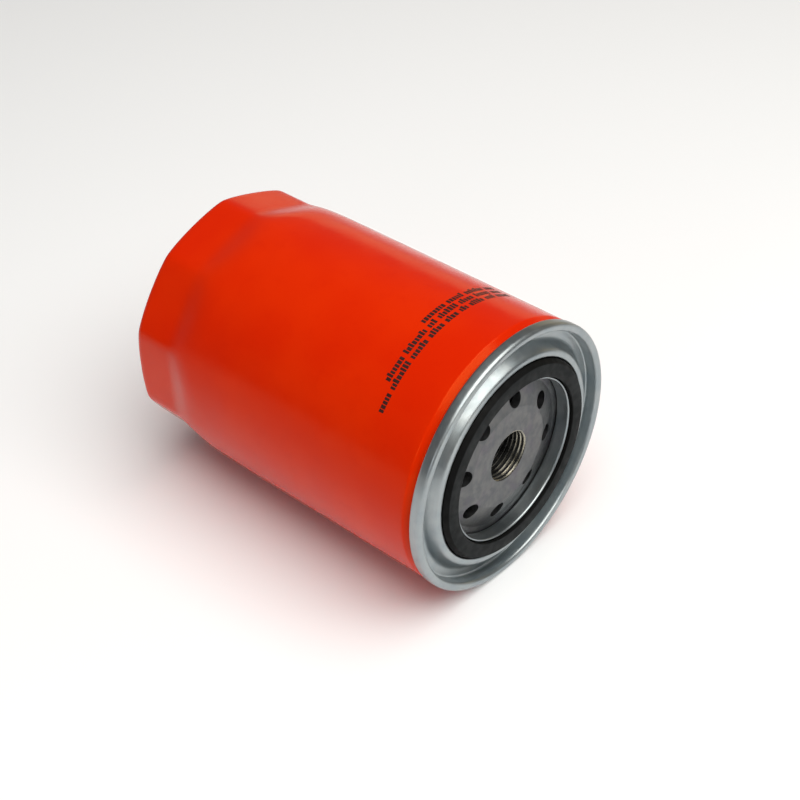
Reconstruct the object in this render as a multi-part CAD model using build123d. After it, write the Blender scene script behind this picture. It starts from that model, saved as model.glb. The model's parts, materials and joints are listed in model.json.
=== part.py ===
from build123d import *

import os
from math import cos, radians, sin, sqrt, tan

# Spin-on oil filter, lying on its side, as its separate pieces. Millimetres.
# The filter's axis is X and its mounting base faces +X. The origin is the centre of the
# threaded hole's outer mouth. An outline is a list of (x, r) points, turned about X.

CUT_MARGIN = 5.0  # how far a cutting shape passes the surface it cuts
FIT = 0.05  # gap left between pieces that touch

# Can
CAN_R = 48.0  # outside of the plain cylinder
CAN_SHEET = 0.55
NECK_R = 46.2  # middle of the sheet where the can is drawn in behind the seam
NECK_X = -2.6
NECK_END_X = -4.4
NECK_BEND = 1.2
SHOULDER_X = -127.5  # where the closed end starts to round over
SHOULDER_R = 11.1  # radial reach of the shoulder's quarter ellipse
SHOULDER_DEPTH = 4.2
SHOULDER_ARC = 52  # degrees of the ellipse before the crown takes over
CROWN_X = -137.0

# Wrench flats round the closed end
FLAT_COUNT = 10
FLAT_TURN = 1.68  # degrees from +Y to the middle of the first flat
FLAT_R = 45.36  # axis to the flat
FLAT_X = -115.0  # the flat is at its full depth from here on
FLAT_RUN_OUT = 12.6  # length of the curve that brings the flat up to the cylinder
FLAT_CURVE = 40  # degrees of that curve, enough to clear the cylinder
FLAT_SPAN = 34.0

# Seaming lid and double seam
LID_SHEET = 0.55
SEAM_TOP_X = 2.9
SEAM_BACK_X = -1.4
SEAM_R = 48.4
FOLD_PITCH = 0.62  # radial distance from one layer of the seam to the next
FOLD_TOP_X = SEAM_TOP_X - 1.4  # middle of the can's sheet at the top of its fold
FOLD_BACK_X = SEAM_BACK_X + 1.1
FOLD_BEND = 0.5
HOOK_LENGTH = 1.8  # lid's edge, tucked up inside the can's fold
HOOK_BEND = 0.6
SEAM_BEND = 1.1
COMPOUND_WIDTH = 0.8
CHANNEL_X = -2.04  # top of the lid's flat floor
CHANNEL_BEND = 0.9
CHUCK_WALL_R = 45.58
BEAD_X = 2.4
BEAD_INNER_R = 36.3
BEAD_INNER_BEND = 0.5
BEAD_CREST_R = 38.3
BEAD_FOOT_R = 41.4
BEAD_BEND = 2.2
LIP_X = 2.79
LIP_R = 29.4
LIP_BEND = 0.6

# Tapping plate
PLATE_THICK = 3.0
PLATE_R = 44.0
BOSS_R = 18.5
CONE_R = 27.0
PLATE_DROP = 2.6  # how far the rim lies behind the boss
NECK_LENGTH = 11.0
NECK_OUTER_R = 12.5
INLET_COUNT = 8
INLET_R = 3.0
INLET_CIRCLE_R = 21.8
INLET_TURN = 36.0

# Thread, 3/4-16 UNF, rolled to about 60% of full depth as in formed sheet
THREAD_MAJOR_R = 9.525
THREAD_PITCH = 25.4 / 16
THREAD_DEPTH = 0.53
THREAD_ROOT_FLAT = 0.1
THREAD_FLANK = 30  # degrees from the flank to the plane across the axis
THREAD_OPEN = 0.3  # how far the groove's shape stands inside the minor diameter
THREAD_RUN_OUT = 0.33  # turns that the groove goes on past the mouth
THREAD_MINOR_R = THREAD_MAJOR_R - THREAD_DEPTH

# Sealing gasket
GASKET_TOP_X = 3.97
GASKET_INNER_R = 30.0
GASKET_OUTER_R = 36.1
GASKET_TOP_OUTER_R = 34.9
GASKET_SHOULDER_X = 2.3
GASKET_BEVEL = 0.3

# Anti-drain valve
VALVE_COLLAR_R = 14.8
VALVE_SLEEVE_R = 15.6
VALVE_WEB_X = -6.8
VALVE_WEB_THICK = 1.3
VALVE_WEB_R = 26.8
VALVE_SKIRT_R = 29.5  # the skirt closes against the tapping plate here
VALVE_SKIRT_EDGE = 0.9
VALVE_FOOT_R = 17.8
VALVE_FOOT_THICK = 1.4

# Filter element
ELEMENT_BASE_X = -14.0
ELEMENT_DOME_X = -118.5
CAP_SHEET = 0.5
CAP_R = 42.0
CAP_RIM = 6.0
CAP_COLLAR_R = 16.1
POTTING = 2.5
TUBE_R = 17.0
TUBE_WALL = 0.6
TUBE_HOLE_R = 2.2
TUBE_HOLES_ROUND = 10
TUBE_HOLE_ROWS = 11
PLEATS = 48
PLEAT_OUTER_R = 40.8
PLEAT_INNER_R = 18.0
PLEAT_FOLD = 0.95  # half the width of one fold
PAPER = 0.6
CLIP_FOLD_R = 38.5  # top of the one shorter fold that the clip sits on
CLIP_DEPTH = 4.5
CLIP_SHEET = 0.4
CLIP_END_GAP = 2.0
CLIP_FIT = 0.08

# Bypass valve, in the dome end cap
CAGE_R = 12.5
CAGE_SHEET = 0.5
CAGE_FLANGE_R = 15.2
CAGE_FLOOR_X = -102.0
CAGE_WINDOWS = 4
CAGE_WINDOW_LENGTH = 9.0
CAGE_WINDOW_WIDTH = 6.0
CAGE_PORTS = 6
CAGE_PORT_R = 1.6
CAGE_PORT_CIRCLE_R = 9.4
SEAT_THICK = 0.8
SEAT_HOLE_R = 7.5
POPPET_R = 10.8
POPPET_SHEET = 0.8
POPPET_HUB_R = 5.8
STEM_R = 2.0
STEM_TIP_X = -98.0
STEM_CHAMFER = 0.6
GUIDE_CLEARANCE = 0.06
SEAL_THICK = 1.2
SEAL_INNER_R = 5.9
SEAL_OUTER_R = 10.5

# Seat of the big spring, on the dome end cap
SPRING_SEAT_INNER_R = 16.2
SPRING_SEAT_OUTER_R = 26.0
SPRING_SEAT_SHEET = 0.6
SPRING_SEAT_COLLAR_R = 17.8
SPRING_SEAT_COLLAR = 3.0

# Coil springs
BYPASS_COIL_R = 6.5
BYPASS_WIRE_R = 0.5
BYPASS_TURNS = 6
ELEMENT_COIL_R = 20.0
ELEMENT_WIRE_R = 1.3
ELEMENT_TURNS = 3.5


def turned(*outline):
    """Solid made by turning a closed outline of (x, r) points about X."""
    return revolve(make_face(Polyline(*outline, close=True)), axis=Axis.X)


def ring(x_low, x_high, r_in, r_out):
    """Plain ring about X."""
    return turned((x_low, r_in), (x_high, r_in), (x_high, r_out), (x_low, r_out))


def formed_sheet(points, radii, thickness):
    """Sheet of one thickness that follows a line of (x, r) points with rounded bends."""
    line = FilletPolyline(*points, radius=radii)
    strip = offset(line, amount=thickness / 2, side=Side.BOTH)
    return revolve(make_face(strip), axis=Axis.X)


def round_x(solid, count, turn=0.0):
    """Copies of a solid, evenly spaced about X."""
    return [Rot(X=turn + 360 / count * i) * solid for i in range(count)]


def coil(x_low, x_high, mean_r, wire_r, turns):
    """Round-wire spring about X, between two planes that its ends touch."""
    start = x_low + wire_r
    height = x_high - x_low - 2 * wire_r
    path = Helix(height / turns, height, mean_r, center=(start, 0, 0), direction=(1, 0, 0))
    section = Plane(origin=path @ 0, z_dir=path % 0) * Circle(wire_r)
    return sweep(section, path=path, is_frenet=True)


def save(name, shape):
    """Write one piece to its own file."""
    export_step(shape, f"parts/{name}.step")


# ---- Can ----


def crown_x(r, inset):
    """Where the crown's skin, moved in by inset, lies at a radius."""
    turn = radians(SHOULDER_ARC)
    rim_x = SHOULDER_X - (SHOULDER_DEPTH - inset) * sin(turn)
    rim_r = CAN_R - SHOULDER_R + (SHOULDER_R - inset) * cos(turn)
    pole_x = CROWN_X + inset
    rise = rim_x - pole_x
    arc_r = (rim_r**2 + rise**2) / (2 * rise)
    return pole_x + arc_r - sqrt(arc_r**2 - r**2)


def can_outline(inset):
    """Half section of the can's closed end and cylinder, moved in by inset."""
    shoulder = EllipticalCenterArc(
        (SHOULDER_X, CAN_R - SHOULDER_R),
        SHOULDER_DEPTH - inset,
        SHOULDER_R - inset,
        start_angle=90,
        arc_size=SHOULDER_ARC,
    )
    rim = shoulder @ 1
    pole = (CROWN_X + inset, 0)
    cap = ThreePointArc(rim, (crown_x(rim.Y / 2, inset), rim.Y / 2), pole)
    rest = Polyline(pole, (NECK_END_X, 0), (NECK_END_X, CAN_R - inset), shoulder @ 0)
    return make_face([shoulder, cap, rest])


def flat_tool(inset):
    """Block that planes one wrench flat, with a floor that curves up to the cylinder."""
    floor = FLAT_R - inset
    rise = CAN_R - FLAT_R
    curve_r = (FLAT_RUN_OUT**2 + rise**2) / (2 * rise)
    curve = CenterArc((FLAT_X, floor + curve_r), curve_r, -90, FLAT_CURVE)
    far_x = CROWN_X - CUT_MARGIN
    rest = Polyline(curve @ 1, (far_x, (curve @ 1).Y), (far_x, floor), curve @ 0)
    return extrude(make_face([curve, rest]), amount=FLAT_SPAN / 2, both=True)


def can_body(inset):
    """Solid bounded by the can's outer skin, moved in by inset."""
    body = revolve(can_outline(inset), axis=Axis.X)
    return body - round_x(flat_tool(inset), FLAT_COUNT, FLAT_TURN)


def can_shell():
    wall_r = CAN_R - CAN_SHEET / 2
    fold_r = NECK_R + 2 * FOLD_PITCH
    neck = formed_sheet(
        [
            (NECK_END_X - 2 * NECK_BEND, wall_r),
            (NECK_END_X, wall_r),
            (NECK_X, NECK_R),
            (FOLD_TOP_X, NECK_R),
            (FOLD_TOP_X, fold_r),
            (FOLD_BACK_X, fold_r),
        ],
        [NECK_BEND, NECK_BEND, FOLD_BEND, FOLD_BEND],
        CAN_SHEET,
    )
    return can_body(0) - can_body(CAN_SHEET) + neck


# ---- Base end ----


def seaming_lid():
    floor_x = CHANNEL_X - LID_SHEET / 2
    bead_x = BEAD_X - LID_SHEET / 2
    bead_in = BEAD_INNER_R + LID_SHEET / 2
    top_x = SEAM_TOP_X - LID_SHEET / 2
    skirt_r = SEAM_R - LID_SHEET / 2
    back_x = SEAM_BACK_X + LID_SHEET / 2
    hook_r = NECK_R + FOLD_PITCH
    return formed_sheet(
        [
            (LIP_X, LIP_R),
            (floor_x, LIP_R),
            (floor_x, bead_in),
            (bead_x, bead_in),
            (bead_x, BEAD_CREST_R),
            (floor_x, BEAD_FOOT_R),
            (floor_x, CHUCK_WALL_R),
            (top_x, CHUCK_WALL_R),
            (top_x, skirt_r),
            (back_x, skirt_r),
            (back_x, hook_r),
            (back_x + HOOK_LENGTH, hook_r),
        ],
        [
            LIP_BEND,
            LIP_BEND,
            BEAD_INNER_BEND,
            BEAD_BEND,
            BEAD_BEND,
            CHANNEL_BEND,
            SEAM_BEND,
            SEAM_BEND,
            HOOK_BEND,
            HOOK_BEND,
        ],
        LID_SHEET,
    )


def seam_compound():
    """Sealing compound between the top of the can's fold and the lid."""
    low = FOLD_TOP_X + CAN_SHEET / 2 + FIT
    high = SEAM_TOP_X - LID_SHEET - FIT
    mid_r = NECK_R + FOLD_PITCH
    return ring(low, high, mid_r - COMPOUND_WIDTH / 2, mid_r + COMPOUND_WIDTH / 2)


def tapping_plate():
    under = -PLATE_DROP - PLATE_THICK
    blank = turned(
        (0, THREAD_MINOR_R),
        (0, BOSS_R),
        (-PLATE_DROP, CONE_R),
        (-PLATE_DROP, PLATE_R),
        (under, PLATE_R),
        (under, CONE_R),
        (-PLATE_THICK, BOSS_R),
        (-PLATE_THICK, NECK_OUTER_R),
        (-NECK_LENGTH, NECK_OUTER_R),
        (-NECK_LENGTH, THREAD_MINOR_R),
    )
    drill = Cylinder(INLET_R, PLATE_THICK + PLATE_DROP + 2 * CUT_MARGIN)
    inlet = Pos(under / 2, INLET_CIRCLE_R, 0) * Rot(Y=90) * drill
    return blank - round_x(inlet, INLET_COUNT, INLET_TURN) - thread_groove()


def thread_groove():
    """Helical groove with 60 degree flanks, which runs out at both ends of the neck."""
    mouth = THREAD_DEPTH + THREAD_OPEN
    half_mouth = THREAD_ROOT_FLAT / 2 + mouth * tan(radians(THREAD_FLANK))
    path = Helix(
        THREAD_PITCH,
        NECK_LENGTH + (1 + THREAD_RUN_OUT) * THREAD_PITCH,
        THREAD_MAJOR_R,
        center=(-NECK_LENGTH - THREAD_PITCH, 0, 0),
        direction=(1, 0, 0),
    )
    start = path @ 0
    outward = Vector(0, start.Y, start.Z)
    section = Plane(origin=start, x_dir=outward, z_dir=path % 0) * make_face(
        Polyline(
            (0, -THREAD_ROOT_FLAT / 2),
            (0, THREAD_ROOT_FLAT / 2),
            (-mouth, half_mouth),
            (-mouth, -half_mouth),
            close=True,
        )
    )
    return sweep(section, path=path, is_frenet=True)


def sealing_gasket():
    floor_x = CHANNEL_X + FIT
    return turned(
        (floor_x, GASKET_INNER_R),
        (GASKET_TOP_X - GASKET_BEVEL, GASKET_INNER_R),
        (GASKET_TOP_X, GASKET_INNER_R + GASKET_BEVEL),
        (GASKET_TOP_X, GASKET_TOP_OUTER_R),
        (GASKET_SHOULDER_X, GASKET_OUTER_R),
        (floor_x, GASKET_OUTER_R),
    )


def anti_drain_valve():
    """Rubber collar round the neck, with a skirt that closes the inlet holes."""
    collar_x = -PLATE_THICK - FIT
    skirt_x = -PLATE_DROP - PLATE_THICK - FIT
    back_x = VALVE_WEB_X - VALVE_WEB_THICK
    foot_x = ELEMENT_BASE_X + FIT
    neck = NECK_OUTER_R + FIT
    return turned(
        (collar_x, neck),
        (collar_x, VALVE_COLLAR_R),
        (VALVE_WEB_X, VALVE_SLEEVE_R),
        (VALVE_WEB_X, VALVE_WEB_R),
        (skirt_x, VALVE_SKIRT_R),
        (skirt_x - VALVE_SKIRT_EDGE, VALVE_SKIRT_R + VALVE_SKIRT_EDGE),
        (back_x, VALVE_WEB_R + VALVE_SKIRT_EDGE / 2),
        (back_x, VALVE_SLEEVE_R),
        (foot_x + 2 * VALVE_FOOT_THICK, VALVE_SLEEVE_R),
        (foot_x + VALVE_FOOT_THICK, VALVE_FOOT_R),
        (foot_x, VALVE_FOOT_R),
        (foot_x, neck),
    )


# ---- Filter element ----


def end_cap_base():
    disc = ELEMENT_BASE_X - CAP_SHEET
    return turned(
        (ELEMENT_BASE_X, CAP_COLLAR_R - CAP_SHEET),
        (ELEMENT_BASE_X, CAP_R),
        (ELEMENT_BASE_X - CAP_RIM, CAP_R),
        (ELEMENT_BASE_X - CAP_RIM, CAP_R - CAP_SHEET),
        (disc, CAP_R - CAP_SHEET),
        (disc, CAP_COLLAR_R),
        (disc - CAP_RIM + 1, CAP_COLLAR_R),
        (disc - CAP_RIM + 1, CAP_COLLAR_R - CAP_SHEET),
    )


def end_cap_dome():
    disc = ELEMENT_DOME_X + CAP_SHEET
    return turned(
        (ELEMENT_DOME_X, CAGE_R + FIT),
        (ELEMENT_DOME_X, CAP_R),
        (ELEMENT_DOME_X + CAP_RIM, CAP_R),
        (ELEMENT_DOME_X + CAP_RIM, CAP_R - CAP_SHEET),
        (disc, CAP_R - CAP_SHEET),
        (disc, CAGE_R + FIT),
    )


def potting(face_x, direction):
    """Ring of adhesive that holds the paper in an end cap."""
    low, high = sorted((face_x, face_x + direction * POTTING))
    return ring(low, high, TUBE_R + FIT, CAP_R - CAP_SHEET - FIT)


def paper_low():
    """Where the paper and its clip start, on the dome side."""
    return ELEMENT_DOME_X + CAP_SHEET + POTTING


def paper_high():
    """Where the paper ends, on the base side."""
    return ELEMENT_BASE_X - CAP_SHEET - POTTING


def pleat_loop(fold_r, fold_half, valley_r, valley_half):
    """Closed zigzag seen along X, with one flat-topped fold for each pleat."""
    points = []
    for i in range(PLEATS):
        fold = radians(360 / PLEATS * i)
        valley = radians(360 / PLEATS * (i + 0.5))
        top = fold_r
        if i == 0:
            top = fold_r - PLEAT_OUTER_R + CLIP_FOLD_R
        for angle, r, half in ((fold, top, fold_half), (valley, valley_r, valley_half)):
            for side in (-half, half):
                y = r * cos(angle) - side * sin(angle)
                z = r * sin(angle) + side * cos(angle)
                points.append((y, z))
    return Plane.YZ * make_face(Polyline(*points, close=True))


def pleated_media():
    outside = pleat_loop(PLEAT_OUTER_R, PLEAT_FOLD, PLEAT_INNER_R + PAPER, PLEAT_FOLD - PAPER)
    inside = pleat_loop(PLEAT_OUTER_R - PAPER, PLEAT_FOLD - PAPER, PLEAT_INNER_R, PLEAT_FOLD)
    length = paper_high() - paper_low()
    return Pos(paper_low(), 0, 0) * extrude(outside - inside, amount=length)


def media_seam_clip():
    """Folded strip that clamps the two ends of the paper along one pleat."""
    length = paper_high() - paper_low() - 2 * CLIP_END_GAP
    inner = PLEAT_FOLD + CLIP_FIT
    outer = inner + CLIP_SHEET
    top = CLIP_FOLD_R + CLIP_FIT
    section = Polyline(
        (top - CLIP_DEPTH, -outer),
        (top + CLIP_SHEET, -outer),
        (top + CLIP_SHEET, outer),
        (top - CLIP_DEPTH, outer),
        (top - CLIP_DEPTH, inner),
        (top, inner),
        (top, -inner),
        (top - CLIP_DEPTH, -inner),
        close=True,
    )
    strip = extrude(Plane.YZ * make_face(section), amount=length)
    return Pos(paper_low() + CLIP_END_GAP, 0, 0) * strip


def centre_tube():
    low = ELEMENT_DOME_X + CAP_SHEET
    high = ELEMENT_BASE_X - CAP_SHEET
    tube = ring(low, high, TUBE_R - TUBE_WALL, TUBE_R)
    row_pitch = (high - low) / (TUBE_HOLE_ROWS + 1)
    drill = Cylinder(TUBE_HOLE_R, 2 * (TUBE_R + CUT_MARGIN))
    holes = []
    for row in range(TUBE_HOLE_ROWS):
        x = low + row_pitch * (row + 1)
        stagger = 180 / TUBE_HOLES_ROUND * (row % 2)
        for turn in range(TUBE_HOLES_ROUND // 2):
            holes.append(Pos(x, 0, 0) * Rot(X=stagger + 360 / TUBE_HOLES_ROUND * turn) * drill)
    return tube - holes


# ---- Bypass valve ----


def bypass_cage():
    flange_x = ELEMENT_DOME_X - CAGE_SHEET
    guide_r = STEM_R + GUIDE_CLEARANCE
    cup = turned(
        (flange_x, CAGE_R - CAGE_SHEET),
        (flange_x, CAGE_FLANGE_R),
        (ELEMENT_DOME_X, CAGE_FLANGE_R),
        (ELEMENT_DOME_X, CAGE_R),
        (CAGE_FLOOR_X + CAGE_SHEET, CAGE_R),
        (CAGE_FLOOR_X + CAGE_SHEET, guide_r),
        (CAGE_FLOOR_X, guide_r),
        (CAGE_FLOOR_X, CAGE_R - CAGE_SHEET),
    )
    punch = Box(CAGE_WINDOW_LENGTH, 6 * CAGE_SHEET, CAGE_WINDOW_WIDTH)
    window = Pos((CAGE_FLOOR_X + ELEMENT_DOME_X) / 2, CAGE_R, 0) * punch
    drill = Cylinder(CAGE_PORT_R, 6 * CAGE_SHEET)
    port = Pos(CAGE_FLOOR_X, CAGE_PORT_CIRCLE_R, 0) * Rot(Y=90) * drill
    return cup - round_x(window, CAGE_WINDOWS) - round_x(port, CAGE_PORTS)


def bypass_seat():
    outer_face = ELEMENT_DOME_X - CAGE_SHEET - SEAT_THICK
    return ring(outer_face, ELEMENT_DOME_X - CAGE_SHEET, SEAT_HOLE_R, CAGE_FLANGE_R)


def poppet_face_x():
    """Face of the poppet's disc that carries the seal."""
    return ELEMENT_DOME_X - CAGE_SHEET + SEAL_THICK


def bypass_seal():
    seated = ELEMENT_DOME_X - CAGE_SHEET
    return ring(seated, poppet_face_x(), SEAL_INNER_R, SEAL_OUTER_R)


def bypass_poppet():
    face = poppet_face_x()
    return turned(
        (face - SEAL_THICK, 0),
        (face - SEAL_THICK, POPPET_HUB_R),
        (face, POPPET_HUB_R),
        (face, POPPET_R),
        (face + POPPET_SHEET, POPPET_R),
        (face + POPPET_SHEET, STEM_R),
        (STEM_TIP_X - STEM_CHAMFER, STEM_R),
        (STEM_TIP_X, STEM_R - STEM_CHAMFER),
        (STEM_TIP_X, 0),
    )


def bypass_spring():
    low = poppet_face_x() + POPPET_SHEET
    return coil(low, CAGE_FLOOR_X, BYPASS_COIL_R, BYPASS_WIRE_R, BYPASS_TURNS)


# ---- Dome end ----


def spring_seat():
    """Shallow ring that centres the big spring on the dome end cap."""
    back_x = ELEMENT_DOME_X - SPRING_SEAT_SHEET
    collar_x = ELEMENT_DOME_X - SPRING_SEAT_COLLAR
    collar_in = SPRING_SEAT_COLLAR_R - SPRING_SEAT_SHEET
    return turned(
        (ELEMENT_DOME_X, SPRING_SEAT_INNER_R),
        (ELEMENT_DOME_X, SPRING_SEAT_OUTER_R),
        (back_x, SPRING_SEAT_OUTER_R),
        (back_x, SPRING_SEAT_COLLAR_R),
        (collar_x, SPRING_SEAT_COLLAR_R),
        (collar_x, collar_in),
        (back_x, collar_in),
        (back_x, SPRING_SEAT_INNER_R),
    )


def element_spring():
    dome_x = crown_x(ELEMENT_COIL_R + ELEMENT_WIRE_R, CAN_SHEET)
    seat_x = ELEMENT_DOME_X - SPRING_SEAT_SHEET
    return coil(dome_x, seat_x, ELEMENT_COIL_R, ELEMENT_WIRE_R, ELEMENT_TURNS)


def main():
    os.makedirs("parts", exist_ok=True)
    save("can_shell", can_shell())
    save("seaming_lid", seaming_lid())
    save("seam_compound", seam_compound())
    save("tapping_plate", tapping_plate())
    save("sealing_gasket", sealing_gasket())
    save("anti_drain_valve", anti_drain_valve())
    save("end_cap_base", end_cap_base())
    save("end_cap_dome", end_cap_dome())
    save("potting_base", potting(ELEMENT_BASE_X - CAP_SHEET, -1))
    save("potting_dome", potting(ELEMENT_DOME_X + CAP_SHEET, 1))
    save("pleated_media", pleated_media())
    save("media_seam_clip", media_seam_clip())
    save("centre_tube", centre_tube())
    save("bypass_cage", bypass_cage())
    save("bypass_seat", bypass_seat())
    save("bypass_seal", bypass_seal())
    save("bypass_poppet", bypass_poppet())
    save("bypass_spring", bypass_spring())
    save("spring_seat", spring_seat())
    save("element_spring", element_spring())


main()
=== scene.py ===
import json
import math
import random

import bpy
from mathutils import Matrix, Vector

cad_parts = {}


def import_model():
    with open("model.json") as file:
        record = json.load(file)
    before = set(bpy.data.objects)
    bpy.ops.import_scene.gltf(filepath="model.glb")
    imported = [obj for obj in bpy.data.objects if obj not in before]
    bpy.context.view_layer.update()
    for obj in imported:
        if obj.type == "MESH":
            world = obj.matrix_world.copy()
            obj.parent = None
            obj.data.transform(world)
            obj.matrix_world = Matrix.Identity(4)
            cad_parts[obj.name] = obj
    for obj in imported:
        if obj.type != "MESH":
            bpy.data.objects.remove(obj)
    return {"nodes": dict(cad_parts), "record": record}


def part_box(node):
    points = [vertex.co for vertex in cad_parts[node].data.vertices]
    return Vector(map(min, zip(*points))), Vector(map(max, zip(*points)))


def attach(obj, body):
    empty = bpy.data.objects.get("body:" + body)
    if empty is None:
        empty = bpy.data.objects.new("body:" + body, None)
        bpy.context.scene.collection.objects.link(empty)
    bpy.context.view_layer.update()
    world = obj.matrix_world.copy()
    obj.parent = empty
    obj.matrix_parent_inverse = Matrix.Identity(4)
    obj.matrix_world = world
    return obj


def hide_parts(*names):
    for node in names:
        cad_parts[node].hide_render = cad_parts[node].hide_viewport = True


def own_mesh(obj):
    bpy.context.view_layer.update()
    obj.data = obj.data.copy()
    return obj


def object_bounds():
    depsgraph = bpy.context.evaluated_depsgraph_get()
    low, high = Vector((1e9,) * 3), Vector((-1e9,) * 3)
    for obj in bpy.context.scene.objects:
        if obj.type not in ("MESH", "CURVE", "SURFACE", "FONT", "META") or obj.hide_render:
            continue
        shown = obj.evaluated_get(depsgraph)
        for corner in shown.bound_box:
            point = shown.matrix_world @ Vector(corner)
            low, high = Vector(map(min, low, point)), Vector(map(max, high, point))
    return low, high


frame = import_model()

cad_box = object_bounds()

# Spin-on oil filter lying on its side. The axis is X, the base faces +X and the origin is the
# centre of the threaded hole's mouth. Lengths are in millimetres, and MM turns them into metres.
# The lights, the floor and the camera's clip distance are given in metres.
MM = 0.001

# Can
CAN_R = 48.0
CAN_SHEET = 0.55
NECK_R = 46.2
FOLD_PITCH = 0.62
FOLD_LENGTH = 1.1  # from the back of the seam to the fold's cut edge
FOLD_DROP = 1.4  # from the top of the seam to the top of the can's fold
NECK_X = -2.6
NECK_END_X = -4.4
NECK_STRAIGHT = 3.0
NECK_BENDS = (0.5, 0.5, 1.2, 1.2)
CAN_SIDES = 400

# Rows of points along the can. They stand closer together from FINE_ROWS_X on.
FINE_ROWS_X = -84.0
PLAIN_ROWS = 12
FLAT_ROWS = 44
SHOULDER_ROWS = 18
CROWN_ROWS = 16

# Wrench flats round the closed end
FLATS = 10
FLAT_TURN = math.radians(1.68)
FLAT_START_X = -96.1
FLAT_BLEND = 19.0
FLAT_DEPTH = 2.8
FLAT_LEAD = 2.58  # how far outside the can each flat's plane starts
FLAT_RUN_OUT = 0.02  # how fast that plane leaves the can before the start, per mm
FLAT_SOFTNESS = 1.3
CORNER_SOFTNESS = 0.5
FLAT_LIMIT_X = -60.0  # nothing is flattened nearer the base than this
FLAT_FADE_R = 30.0  # inside this radius the flats fade out toward the crown's middle
SHOULDER_X = -127.5
SHOULDER_R = 11.1
SHOULDER_DEPTH = 4.2
SHOULDER_ARC = math.radians(52)
CROWN_X = -136.9

# Lid and double seam
LID_SHEET = 0.55
LID_BENDS = (0.6, 0.6, 0.5, 2.2, 2.2, 0.9, 1.1, 1.1, 0.6, 0.6)
LID_STEP = 0.7  # rough distance between two points of the section
SEAM_TOP_X = 2.9
SEAM_BACK_X = -1.4
SEAM_R = 48.37
HOOK_LENGTH = 1.8
CHANNEL_X = -2.04
CHUCK_WALL_R = 45.58
BEAD_X = 2.4
BEAD_INNER_R = 36.3
BEAD_CREST_R = 38.3
BEAD_FOOT_R = 41.4
LIP_X = 2.79
LIP_R = 29.4

# Ribs on the chuck wall's inner face
RIBS = 360
RIB_SIDES = 4
RIB_HEIGHT = 0.04
RIB_REACH = 0.2  # points this near the face are part of it
RIB_LOW_GAP = 0.9
RIB_TOP_GAP = 1.1

# Threaded hole
NECK_LENGTH = 11.0
THREAD_MINOR_R = 8.97
THREAD_DEPTH = 0.53
THREAD_PITCH = 25.4 / 16
LINING_R = 10.2
LINING_INSET = 0.02
LINING_ROWS = 120
LINING_SIDES = 144

# Gasket
GASKET_TOP_X = 3.97
GASKET_INNER_R = 30.0
GASKET_OUTER_R = 36.05
GASKET_TOP_OUTER_R = 34.9
GASKET_SHOULDER_X = 2.3
GASKET_LIFT = 0.02  # keeps it off the lid's sheet
GASKET_BENDS = (0.3, 0.35, 0.4, 0.6, 0.3)
GASKET_BEND_STEPS = 4
GASKET_SIDES = 360
GASKET_WAVES = range(2, 12)
GASKET_WAVE_SIZE = 0.03

# Printed rows on the can. Plain blocks stand for the words.
PRINT_R = 48.03
PRINT_SHEET = 0.05
PRINT_HEIGHT = 1.8
PRINT_TALL = 2.4
PRINT_TALL_SHARE = 0.3
PRINT_WIDTHS = (0.95, 1.45)  # degrees
PRINT_GAP = 0.38  # degrees
WORD_GAP = 1.5  # degrees
PRINT_ROWS = (
    # x of the row's base side, angle in degrees where it starts, blocks in each word
    (-21.0, 142.0, (5, 8, 6, 5, 4, 3, 5, 4, 6)),
    (-24.0, 130.5, (7, 8, 3, 7, 5, 6, 4)),
    (-27.0, 103.5, (8, 6, 7, 4)),
)
BLOCK_FACES = ((4, 5, 6, 7), (0, 3, 2, 1), (0, 1, 5, 4), (1, 2, 6, 5), (2, 3, 7, 6), (3, 0, 4, 7))

# Springs
SEAT_WIRE_R = 1.3
SEAT_TURNS = 3.5
VALVE_WIRE_R = 0.5
VALVE_TURNS = 6
COIL_STEPS = 48  # in each turn
WIRE_SIDES = 12

# View
CAMERA_AZIMUTH = math.radians(41.33)
CAMERA_ELEVATION = math.radians(38.05)
CAMERA_DISTANCE = 526.1
CAMERA_RIGHT = -36.26
CAMERA_UP = 18.96
CAMERA_AIM_X = 1.06
CAMERA_LENS = 72.4
CAMERA_CLIP = 0.01
SENSOR = 36.0

# Light and floor
LIGHTS = (
    # name, place, point it faces, width and height, watts, colour
    ("key", (0.40, -0.05, 1.10), (-0.05, 0, 0), (1.4, 1.4), 22.5, (1, 0.98, 0.92)),
    ("fill", (0.24, -1.10, 0.36), (-0.05, 0, 0), (0.25, 0.25), 0.7, (1, 1, 1)),
    ("back", (-0.4, 1.5, 0.22), (-0.05, 0, 0), (2.2, 0.4), 1.7, (1, 0.75, 0.40)),
    ("base", (1.3, -0.05, 0.14), (0, 0, 0), (0.9, 0.35), 1.8, (1, 0.97, 0.90)),
)
WORLD_STRENGTH = 0.16
FLOOR_HALF = 4.0
FLOOR_COLOUR = (0.90, 0.91, 0.94, 1)


# ---- Mesh helpers ----


def smoothstep(t):
    t = min(max(t, 0.0), 1.0)
    return t * t * (3 - 2 * t)


def spaced(start, end, count):
    """Even steps from start to end, without start itself."""
    return [start + (end - start) * i / count for i in range(1, count + 1)]


def new_piece(name, verts, faces, material, body="housing", smooth=True):
    """Mesh object from points in millimetres, riding on a body."""
    mesh = bpy.data.meshes.new(name)
    mesh.from_pydata([tuple(c * MM for c in v) for v in verts], [], faces)
    mesh.validate()
    mesh.update()
    if smooth:
        mesh.shade_smooth()
    piece = bpy.data.objects.new(name, mesh)
    bpy.context.scene.collection.objects.link(piece)
    mesh.materials.append(material)
    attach(piece, body)
    return piece


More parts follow.
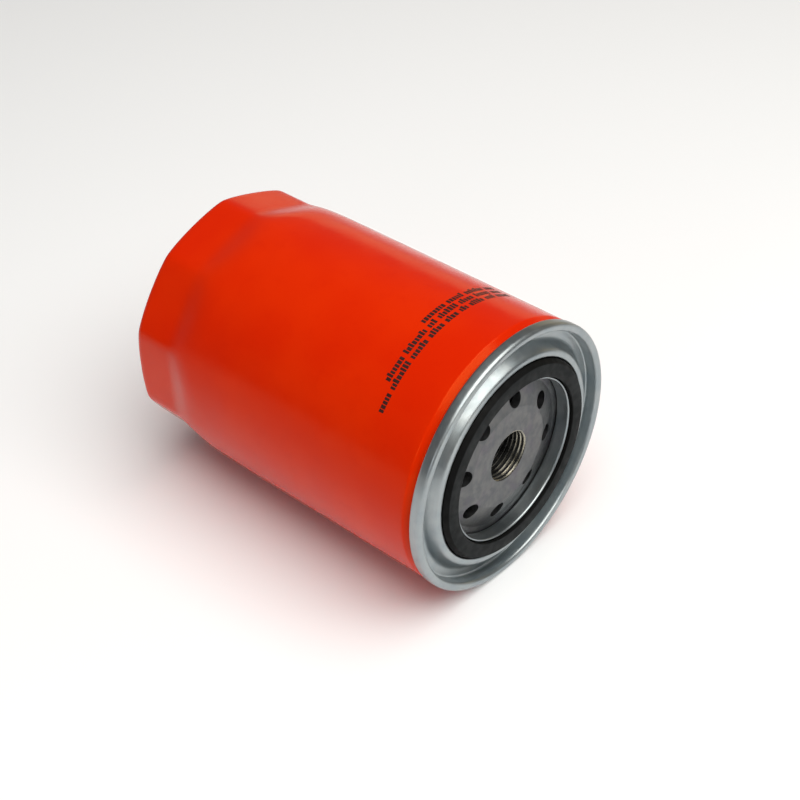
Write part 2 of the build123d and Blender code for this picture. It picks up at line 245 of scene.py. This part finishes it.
def rounded(points, radii, steps=5):
    """Line of (x, r) points whose inner corners are replaced by arcs."""
    out = [points[0]]
    for before, corner, after, radius in zip(points, points[1:], points[2:], radii):
        to_before = Vector(before) - Vector(corner)
        to_after = Vector(after) - Vector(corner)
        half = to_before.angle(to_after) / 2
        run = min(radius / math.tan(half), 0.49 * to_before.length, 0.49 * to_after.length)
        start = Vector(corner) + to_before.normalized() * run
        end = Vector(corner) + to_after.normalized() * run
        middle = (to_before.normalized() + to_after.normalized()).normalized()
        centre = Vector(corner) + middle * (run / math.cos(half))
        first = start - centre
        turn = first.angle_signed(end - centre)
        for i in range(steps + 1):
            spoke = Matrix.Rotation(-turn * i / steps, 2) @ first
            out.append(tuple(centre + spoke))
    out.append(points[-1])
    return out


def offset_line(line, distance):
    """The line moved sideways, to its right when distance is positive."""
    out = []
    for i, point in enumerate(line):
        before = Vector(line[max(i - 1, 0)])
        after = Vector(line[min(i + 1, len(line) - 1)])
        along = (after - before).normalized()
        out.append((point[0] + along.y * distance, point[1] - along.x * distance))
    return out


def sheet_section(points, radii, thickness):
    """Closed outline of a sheet that follows a line of points with rounded bends."""
    middle = rounded(points, radii)
    return offset_line(middle, thickness / 2) + offset_line(middle, -thickness / 2)[::-1]


def subdivided(section, step):
    """The closed section with points added about every step along its longer stretches."""
    out = []
    for (x, r), (next_x, next_r) in zip(section, section[1:] + section[:1]):
        parts = max(1, round(math.hypot(next_x - x, next_r - r) / step))
        for i in range(parts):
            out.append((x + (next_x - x) * i / parts, r + (next_r - r) * i / parts))
    return out


def turned_mesh(section, sides, place):
    """Points and faces of a closed (x, r) section turned about X. place moves each point."""
    count = len(section)
    verts = []
    for i in range(sides):
        angle = 2 * math.pi * i / sides
        for x, r in section:
            x, r = place(x, r, angle)
            verts.append((x, r * math.cos(angle), r * math.sin(angle)))
    faces = []
    for i in range(sides):
        a, b = i * count, (i + 1) % sides * count
        for j in range(count):
            k = (j + 1) % count
            faces.append((a + j, a + k, b + k, b + j))
    return verts, faces


# ---- Shader helpers ----


class Surface:
    """A Principled material. Constants go on its own sockets, and patterns are linked in."""

    def __init__(self, name, **constants):
        self.material = bpy.data.materials.new(name)
        self.material.use_nodes = True
        self.tree = self.material.node_tree
        self.shader = self.tree.nodes["Principled BSDF"]
        for socket, value in constants.items():
            self.shader.inputs[socket.replace("_", " ")].default_value = value
        self.coordinates = self.node("ShaderNodeTexCoord").outputs
        self.object_space = self.coordinates["Object"]

    def node(self, kind, inputs=None, **settings):
        made = self.tree.nodes.new(kind)
        for key, value in settings.items():
            setattr(made, key, value)
        for socket, value in (inputs or {}).items():
            if isinstance(value, bpy.types.NodeSocket):
                self.tree.links.new(value, made.inputs[socket])
            else:
                made.inputs[socket].default_value = value
        return made

    def math(self, operation, a, b=0.0):
        return self.node("ShaderNodeMath", {0: a, 1: b}, operation=operation).outputs[0]

    def parts(self, vector):
        """The x, y and z of a vector socket."""
        return self.node("ShaderNodeSeparateXYZ", {0: vector}).outputs

    def noise(self, size_mm, detail=3.0, roughness=0.5):
        """Noise from 0 to 1 whose blobs are about size_mm across."""
        made = self.node(
            "ShaderNodeTexNoise",
            {
                "Vector": self.object_space,
                "Scale": 1 / (size_mm * MM),
                "Detail": detail,
                "Roughness": roughness,
            },
        )
        return made.outputs["Fac"]

    def radius(self):
        """Distance from the X axis, in metres."""
        _, y, z = self.parts(self.object_space)
        squares = self.math("ADD", self.math("MULTIPLY", y, y), self.math("MULTIPLY", z, z))
        return self.math("SQRT", squares)

    def spun_noise(self, radial_mm, axial_mm, turns=1.5, detail=3.0):
        """Noise drawn out round the X axis, as turning or rolling marks are."""
        x, y, z = self.parts(self.object_space)
        radius = self.radius()
        across = self.math("DIVIDE", y, radius)
        up = self.math("DIVIDE", z, radius)
        vector = self.node(
            "ShaderNodeCombineXYZ",
            {
                0: self.math("DIVIDE", x, axial_mm * MM),
                1: self.math("MULTIPLY", across, turns),
                2: self.math("MULTIPLY", up, turns),
            },
        ).outputs[0]
        made = self.node(
            "ShaderNodeTexNoise",
            {
                "Vector": vector,
                "W": self.math("DIVIDE", radius, radial_mm * MM),
                "Scale": 1.0,
                "Detail": detail,
            },
            noise_dimensions="4D",
        )
        return made.outputs["Fac"]

    def band(self, value, low, high, to_low=0.0, to_high=1.0):
        """Value mapped smoothly from one range to another."""
        made = self.node(
            "ShaderNodeMapRange",
            {
                "Value": value,
                "From Min": low,
                "From Max": high,
                "To Min": to_low,
                "To Max": to_high,
            },
            interpolation_type="SMOOTHSTEP",
        )
        return made.outputs["Result"]

    def blend(self, factor, first, second):
        """Mix of two colours or colour sockets, by a factor socket."""
        made = self.node("ShaderNodeMix", {0: factor}, data_type="RGBA")
        for socket, colour in ((made.inputs[6], first), (made.inputs[7], second)):
            if isinstance(colour, tuple):
                socket.default_value = (*colour, 1.0)
            else:
                self.tree.links.new(colour, socket)
        return made.outputs[2]

    def drive(self, socket, value):
        self.tree.links.new(value, self.shader.inputs[socket])

    def bump(self, *layers):
        """Stack of bumps, each a height socket and its full height in millimetres."""
        normal = None
        for height, size_mm in layers:
            inputs = {"Height": height, "Distance": size_mm * MM, "Strength": 1.0}
            if normal:
                inputs["Normal"] = normal
            normal = self.node("ShaderNodeBump", inputs).outputs["Normal"]
        self.drive("Normal", normal)


# ---- Materials ----


def paint():
    s = Surface("enamel_paint", Specular_IOR_Level=0.26, Specular_Tint=(1.0, 0.5, 0.1, 1))
    drift = s.noise(38, detail=2)
    mottle = s.noise(5, detail=4)
    red = s.blend(s.band(drift, 0.35, 0.65), (0.62, 0.015, 0.0002), (0.66, 0.021, 0.0003))
    s.drive("Base Color", s.blend(s.band(mottle, 0.5, 0.85, 0.0, 0.3), red, (0.57, 0.011, 0.0002)))
    s.drive("Roughness", s.band(s.noise(9, detail=5), 0.3, 0.7, 0.16, 0.24))
    s.bump((s.noise(1.4, detail=1), 0.010), (s.noise(14, detail=2), 0.06))
    return s.material


def zinc():
    s = Surface("zinc_plate", Metallic=1.0)
    rolled = s.spun_noise(0.3, 0.3, turns=2.5)
    cloud = s.noise(6, detail=5)
    tone = s.blend(s.band(cloud, 0.3, 0.7), (0.30, 0.34, 0.36), (0.36, 0.39, 0.40))
    s.drive("Base Color", s.blend(s.band(rolled, 0.45, 0.75, 0.0, 0.3), tone, (0.31, 0.32, 0.32)))
    s.drive("Roughness", s.band(s.noise(2.5, detail=5), 0.3, 0.7, 0.32, 0.38))
    s.bump((rolled, 0.003))
    return s.material


def plate_steel():
    s = Surface("plate_steel", Metallic=1.0)
    cloud = s.noise(4.5, detail=5, roughness=0.55)
    stain = s.noise(7, detail=4)
    tone = s.blend(s.band(cloud, 0.3, 0.7), (0.115, 0.120, 0.127), (0.165, 0.165, 0.165))
    tone = s.blend(s.band(stain, 0.5, 0.7, 0.0, 0.5), tone, (0.125, 0.110, 0.138))
    s.drive("Base Color", tone)
    s.drive("Roughness", s.band(s.noise(2, detail=5), 0.3, 0.7, 0.38, 0.50))
    s.bump((s.spun_noise(0.4, 0.4, turns=3), 0.010), (s.noise(0.7, detail=3), 0.006))
    return s.material


def oiled_thread_painted_shade():
    """Bare steel of the rolled thread. Near its mouth its warm tone is partly oil and partly a
    painted warm reflection; further in it is painted dark, a painted shade of the deep hole.
    """
    s = Surface("oiled_thread_painted_shade", Metallic=1.0)
    patches = s.band(s.noise(3, detail=4), 0.3, 0.7)
    # Warm tone: partly an oil film, partly a painted warm reflection on the thread.
    oil_and_painted_reflection = s.blend(patches, (0.34, 0.31, 0.24), (0.46, 0.44, 0.37))
    # Painted shade: the colour darkens from the mouth inward, standing in for the shade deep in the
    # hole.
    clear_of_painted_shade = s.band(s.parts(s.object_space)[0], -6.5 * MM, -1.0 * MM)
    s.drive("Base Color", s.blend(clear_of_painted_shade, (0.025, 0.024, 0.022), oil_and_painted_reflection))
    s.drive("Roughness", s.band(s.noise(2, detail=4), 0.3, 0.7, 0.24, 0.32))
    s.bump((s.spun_noise(0.3, 0.3, turns=2), 0.004))
    return s.material


def nitrile():
    """Black rubber whose faces square to the axis are painted lighter in patches, partly dust and
    partly painted light falling on those faces.
    """
    s = Surface("nitrile_rubber", Specular_IOR_Level=0.12)
    # Painted light: faces square to the axis are painted lighter than the sides, as where light
    # falls, in dust-like patches.
    facing = s.math("ABSOLUTE", s.parts(s.coordinates["Normal"])[0])
    patches = s.band(s.noise(7, detail=4), 0.2, 0.8, 0.5, 1.0)
    dust_and_painted_light = s.math("MULTIPLY", s.band(facing, 0.6, 0.95), patches)
    s.drive("Base Color", s.blend(dust_and_painted_light, (0.0012, 0.0013, 0.0013), (0.010, 0.012, 0.013)))
    s.drive("Roughness", s.band(s.noise(3, detail=5), 0.3, 0.7, 0.55, 0.72))
    s.bump((s.noise(0.4, detail=3), 0.008), (s.noise(6, detail=2), 0.02))
    return s.material


def ink():
    s = Surface("printing_ink", Specular_IOR_Level=0.3)
    s.drive("Base Color", s.blend(s.noise(0.8, detail=4), (0.02, 0.006, 0.005), (0.05, 0.010, 0.006)))
    s.drive("Roughness", s.band(s.noise(1.5), 0.3, 0.7, 0.35, 0.55))
    s.bump((s.noise(0.3, detail=2), 0.004))
    return s.material


def tinplate():
    s = Surface("tinned_steel", Metallic=1.0)
    cloud = s.band(s.noise(7, detail=5), 0.35, 0.65)
    s.drive("Base Color", s.blend(cloud, (0.52, 0.50, 0.46), (0.66, 0.65, 0.61)))
    s.drive("Roughness", s.band(s.noise(3, detail=5), 0.3, 0.7, 0.28, 0.48))
    s.bump((s.spun_noise(0.5, 0.5, turns=2), 0.010), (s.noise(0.6, detail=2), 0.006))
    return s.material


def paper():
    s = Surface("filter_paper", Specular_IOR_Level=0.2)
    fibre = s.noise(0.35, detail=5, roughness=0.7)
    s.drive("Base Color", s.blend(s.band(fibre, 0.3, 0.7), (0.62, 0.40, 0.16), (0.78, 0.56, 0.28)))
    s.drive("Roughness", s.band(s.noise(2, detail=3), 0.3, 0.7, 0.75, 0.92))
    s.bump((fibre, 0.05), (s.noise(3, detail=2), 0.05))
    return s.material


def plastisol():
    s = Surface("plastisol", Specular_IOR_Level=0.35)
    s.drive("Base Color", s.blend(s.noise(4, detail=4), (0.030, 0.035, 0.030), (0.060, 0.066, 0.058)))
    s.drive("Roughness", s.band(s.noise(5, detail=4), 0.3, 0.7, 0.40, 0.65))
    s.bump((s.noise(2.5, detail=3), 0.08))
    return s.material


def sealant():
    s = Surface("seam_sealant", Specular_IOR_Level=0.3)
    s.drive("Base Color", s.blend(s.noise(2, detail=4), (0.10, 0.095, 0.085), (0.16, 0.15, 0.13)))
    s.drive("Roughness", s.band(s.noise(2, detail=4), 0.3, 0.7, 0.55, 0.8))
    s.bump((s.noise(0.8, detail=3), 0.03))
    return s.material


def spring_steel():
    s = Surface("spring_steel", Metallic=1.0)
    s.drive("Base Color", s.blend(s.noise(3, detail=5), (0.16, 0.16, 0.17), (0.28, 0.28, 0.30)))
    s.drive("Roughness", s.band(s.noise(1.5, detail=4), 0.3, 0.7, 0.30, 0.50))
    s.bump((s.noise(0.4, detail=3), 0.01))
    return s.material


# ---- Pieces ----


def soft_min(a, b, softness):
    """The smaller of two lengths, with the crossover rounded off."""
    return min(a, b) - softness * math.log1p(math.exp(-abs(a - b) / softness))


def can_radius(x, angle, plain_r):
    """The can's radius, with the wrench flats blended softly into it."""
    facet = 2 * math.pi / FLATS
    off = abs((angle - FLAT_TURN + facet / 2) % facet - facet / 2)
    lead = FLAT_LEAD + FLAT_RUN_OUT * max(x - FLAT_START_X, 0) ** 2
    drop = (FLAT_DEPTH + FLAT_LEAD) * smoothstep((FLAT_START_X - x) / FLAT_BLEND)
    to_flat = CAN_R + lead - drop
    flats = soft_min(to_flat / math.cos(off), to_flat / math.cos(facet - off), CORNER_SOFTNESS)
    return soft_min(flats, plain_r, FLAT_SOFTNESS)


def can_profile():
    """Outer line of the can from its fold in the seam to just before the crown's middle."""
    sheet_r = CAN_R - CAN_SHEET / 2
    middle = rounded(
        [
            (SEAM_BACK_X + FOLD_LENGTH, NECK_R + 2 * FOLD_PITCH),
            (SEAM_TOP_X - FOLD_DROP, NECK_R + 2 * FOLD_PITCH),
            (SEAM_TOP_X - FOLD_DROP, NECK_R),
            (NECK_X, NECK_R),
            (NECK_END_X, sheet_r),
            (NECK_END_X - NECK_STRAIGHT, sheet_r),
        ],
        NECK_BENDS,
    )
    profile = offset_line(middle, CAN_SHEET / 2)
    profile += [(x, CAN_R) for x in spaced(profile[-1][0], FINE_ROWS_X, PLAIN_ROWS)]
    profile += [(x, CAN_R) for x in spaced(FINE_ROWS_X, SHOULDER_X, FLAT_ROWS)]
    for turn in spaced(0, SHOULDER_ARC, SHOULDER_ROWS):
        rim_x = SHOULDER_X - SHOULDER_DEPTH * math.sin(turn)
        rim_r = CAN_R - SHOULDER_R * (1 - math.cos(turn))
        profile.append((rim_x, rim_r))
    rise = rim_x - CROWN_X
    ball = (rim_r**2 + rise**2) / (2 * rise)
    for i in range(1, CROWN_ROWS):
        r = rim_r * (1 - i / CROWN_ROWS)
        profile.append((CROWN_X + ball - math.sqrt(ball**2 - r**2), r))
    return profile


def painted_can(material):
    """Can with its drawn-in neck, wrench flats, rounded shoulder and domed end."""
    profile = can_profile()
    rows = len(profile)
    verts = []
    for i in range(CAN_SIDES):
        angle = 2 * math.pi * i / CAN_SIDES
        for x, r in profile:
            if x < FLAT_LIMIT_X:
                fade = min(r / FLAT_FADE_R, 1.0) ** 3
                r = r + (can_radius(x, angle, r) - r) * fade
            verts.append((x, r * math.cos(angle), r * math.sin(angle)))
    crown = len(verts)
    verts.append((CROWN_X, 0, 0))
    faces = []
    for i in range(CAN_SIDES):
        a, b = i * rows, (i + 1) % CAN_SIDES * rows
        for j in range(rows - 1):
            faces.append((a + j, a + j + 1, b + j + 1, b + j))
    for i in range(CAN_SIDES):
        a, b = i * rows, (i + 1) % CAN_SIDES * rows
        faces.append((b + rows - 1, a + rows - 1, crown))
    can = new_piece("painted_can", verts, faces, material)
    shell = can.modifiers.new("sheet", "SOLIDIFY")
    shell.thickness = CAN_SHEET * MM
    shell.offset = -1
    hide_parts("can_shell")


def zinc_lid(material):
    """Lid with the double seam, ribbed chuck wall, channel, bead and gasket groove."""
    half = LID_SHEET / 2
    floor_x = CHANNEL_X - half
    hook_r = NECK_R + FOLD_PITCH
    section = sheet_section(
        [
            (LIP_X, LIP_R),
            (floor_x, LIP_R),
            (floor_x, BEAD_INNER_R + half),
            (BEAD_X - half, BEAD_INNER_R + half),
            (BEAD_X - half, BEAD_CREST_R),
            (floor_x, BEAD_FOOT_R),
            (floor_x, CHUCK_WALL_R),
            (SEAM_TOP_X - half, CHUCK_WALL_R),
            (SEAM_TOP_X - half, SEAM_R - half),
            (SEAM_BACK_X + half, SEAM_R - half),
            (SEAM_BACK_X + half, hook_r),
            (SEAM_BACK_X + half + HOOK_LENGTH, hook_r),
        ],
        LID_BENDS,
        LID_SHEET,
    )

    def ribbed(x, r, angle):
        if abs(r - (CHUCK_WALL_R - half)) < RIB_REACH:
            from_ends = min(x - CHANNEL_X - RIB_LOW_GAP, SEAM_TOP_X - RIB_TOP_GAP - x)
            r -= RIB_HEIGHT * smoothstep(from_ends) * (0.5 + 0.5 * math.cos(RIBS * angle))
        return x, r

    verts, faces = turned_mesh(subdivided(section, LID_STEP), RIBS * RIB_SIDES, ribbed)
    lid = new_piece("zinc_lid", verts, faces, material)
    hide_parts("seaming_lid")


def rubber_gasket(material):
    """Gasket with a chamfered outer shoulder, whose raised part is slightly uneven."""
    floor_x = CHANNEL_X + GASKET_LIFT
    corners = [
        (floor_x, GASKET_INNER_R + 2),
        (floor_x, GASKET_INNER_R),
        (GASKET_TOP_X, GASKET_INNER_R),
        (GASKET_TOP_X, GASKET_TOP_OUTER_R),
        (GASKET_SHOULDER_X, GASKET_OUTER_R),
        (floor_x, GASKET_OUTER_R),
        (floor_x, GASKET_INNER_R + 2),
    ]
    section = rounded(corners, GASKET_BENDS, GASKET_BEND_STEPS)[:-1]
    chance = random.Random(7)
    waves = []
    for n in GASKET_WAVES:
        size = GASKET_WAVE_SIZE / n**0.5 * chance.uniform(0.5, 1)
        waves.append((n, size, chance.uniform(0, 2 * math.pi)))

    def uneven(x, r, angle):
        if x > 0:
            r += sum(size * math.sin(n * angle + phase) for n, size, phase in waves)
        return x, r

    verts, faces = turned_mesh(section, GASKET_SIDES, uneven)
    gasket = new_piece("rubber_gasket", verts, faces, material)
    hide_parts("sealing_gasket")


def printed_bars(material):
    """Rows of plain blocks, printed round the can near its base end."""
    chance = random.Random(11)
    verts, faces = [], []
    for row_x, angle, words in PRINT_ROWS:
        for blocks in words:
            for _ in range(blocks):
                wide = chance.uniform(*PRINT_WIDTHS)
                tall = PRINT_TALL if chance.random() < PRINT_TALL_SHARE else PRINT_HEIGHT
                first = len(verts)
                for r in (PRINT_R - PRINT_SHEET, PRINT_R):
                    for x, turn in ((0, 0), (0, wide), (tall, wide), (tall, 0)):
                        a = math.radians(angle - turn)
                        verts.append((row_x - x, r * math.cos(a), r * math.sin(a)))
                for quad in BLOCK_FACES:
                    faces.append(tuple(first + k for k in quad))
                angle -= wide + PRINT_GAP
            angle -= WORD_GAP
    bars = new_piece("printed_bars", verts, faces, material, smooth=False)


def thread_lining(material):
    """Threaded wall of the hole, as one smooth helical surface."""
    low_x, high_x = -NECK_LENGTH + LINING_INSET, -LINING_INSET
    wall = [(x, THREAD_MINOR_R) for x in [high_x] + spaced(high_x, low_x, LINING_ROWS)]
    section = [(low_x, LINING_R), (high_x, LINING_R)] + wall

    def cut(x, r, angle):
        if r < LINING_R:
            phase = 2 * math.pi * x / THREAD_PITCH - angle
            r += THREAD_DEPTH * (0.5 + 0.5 * math.cos(phase))
        return x, r

    verts, faces = turned_mesh(section[::-1], LINING_SIDES, cut)
    lining = new_piece("thread_lining", verts, faces, material)


def coil_spring(name, node, body, wire_r, turns, material):
    """Round-wire spring in a CAD spring's place."""
    low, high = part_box(node)
    start_x, end_x = low[0] / MM + wire_r, high[0] / MM - wire_r
    coil_r = high[2] / MM - wire_r
    steps = int(turns * COIL_STEPS)
    lean = math.atan((end_x - start_x) / (turns * 2 * math.pi * coil_r))
    verts, faces = [], []
    for i in range(steps + 1):
        angle = 2 * math.pi * turns * i / steps
        x = start_x + (end_x - start_x) * i / steps
        outward = Vector((0, math.cos(angle), math.sin(angle)))
        round_axis = Vector((0, -math.sin(angle), math.cos(angle)))
        across = Vector((math.cos(lean), 0, 0)) - round_axis * math.sin(lean)
        centre = Vector((x, 0, 0)) + outward * coil_r
        for j in range(WIRE_SIDES):
            turn = 2 * math.pi * j / WIRE_SIDES
            spoke = outward * math.cos(turn) + across * math.sin(turn)
            verts.append(tuple(centre + spoke * wire_r))
    for i in range(steps):
        a, b = i * WIRE_SIDES, (i + 1) * WIRE_SIDES
        for j in range(WIRE_SIDES):
            k = (j + 1) % WIRE_SIDES
            faces.append((a + j, a + k, b + k, b + j))
    faces.append(tuple(range(WIRE_SIDES))[::-1])
    faces.append(tuple(steps * WIRE_SIDES + j for j in range(WIRE_SIDES)))
    spring = new_piece(name, verts, faces, material, body)
    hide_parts(node)
    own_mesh(spring)


def springs(material):
    """The spring under the element and the bypass valve's own spring."""
    coil_spring(
        name="seat_spring",
        node="element_spring",
        body="housing",
        wire_r=SEAT_WIRE_R,
        turns=SEAT_TURNS,
        material=material,
    )
    coil_spring(
        name="valve_spring",
        node="bypass_spring",
        body="element",
        wire_r=VALVE_WIRE_R,
        turns=VALVE_TURNS,
        material=material,
    )


def dress_cad_nodes(materials):
    """Gives every CAD node the material of its slot."""
    for sub in frame["record"]["subparts"]:
        node = frame["nodes"][sub["node"]]
        node.data.materials.clear()
        node.data.materials.append(materials[sub["material_slot"]])


# ---- Stage ----


def camera():
    azimuth, elevation = CAMERA_AZIMUTH, CAMERA_ELEVATION
    back = Vector(
        (
            math.sin(azimuth) * math.cos(elevation),
            -math.cos(azimuth) * math.cos(elevation),
            math.sin(elevation),
        )
    )
    right = Vector((math.cos(azimuth), math.sin(azimuth), 0))
    up = back.cross(right)
    aim = Vector((CAMERA_AIM_X, 0, 0))
    place = (aim + back * CAMERA_DISTANCE + right * CAMERA_RIGHT + up * CAMERA_UP) * MM
    data = bpy.data.cameras.new("camera")
    data.lens = CAMERA_LENS
    data.sensor_width = SENSOR
    data.clip_start = CAMERA_CLIP
    view = bpy.data.objects.new("camera", data)
    turn = Matrix((right, up, back)).transposed().to_4x4()
    view.matrix_world = Matrix.Translation(place) @ turn
    bpy.context.scene.collection.objects.link(view)
    bpy.context.scene.camera = view


def floor():
    low = cad_box[0][2]
    half = FLOOR_HALF
    corners = [(-half, -half, low), (half, -half, low), (half, half, low), (-half, half, low)]
    mesh = bpy.data.meshes.new("floor")
    mesh.from_pydata(corners, [], [(0, 1, 2, 3)])
    plane = bpy.data.objects.new("floor", mesh)
    bpy.context.scene.collection.objects.link(plane)
    s = Surface("pale_floor", Roughness=0.9, Specular_IOR_Level=0.1, Base_Color=FLOOR_COLOUR)
    mesh.materials.append(s.material)


def soft_light(name, place, aim, size, power, tint):
    data = bpy.data.lights.new(name, "AREA")
    data.shape = "RECTANGLE"
    data.size, data.size_y = size
    data.energy = power
    data.color = tint
    lamp = bpy.data.objects.new(name, data)
    away = Vector(place) - Vector(aim)
    turn = away.to_track_quat("Z", "Y").to_matrix().to_4x4()
    lamp.matrix_world = Matrix.Translation(place) @ turn
    bpy.context.scene.collection.objects.link(lamp)


def world():
    sky = bpy.data.worlds.new("studio")
    sky.use_nodes = True
    shade = sky.node_tree.nodes["Background"]
    shade.inputs["Color"].default_value = (1, 1, 1, 1)
    shade.inputs["Strength"].default_value = WORLD_STRENGTH
    bpy.context.scene.world = sky
    bpy.context.scene.view_settings.view_transform = "Standard"


def main():
    camera()
    floor()
    world()
    for light in LIGHTS:
        soft_light(*light)
    materials = {
        "paint": paint(),
        "ink": ink(),
        "zinc": zinc(),
        "plate_steel": plate_steel(),
        "sealant": sealant(),
        "nitrile": nitrile(),
        "tinplate": tinplate(),
        "paper": paper(),
        "plastisol": plastisol(),
        "spring_steel": spring_steel(),
    }
    dress_cad_nodes(materials)
    painted_can(materials["paint"])
    zinc_lid(materials["zinc"])
    rubber_gasket(materials["nitrile"])
    printed_bars(materials["ink"])
    springs(materials["spring_steel"])
    thread_lining(oiled_thread_painted_shade())


main()
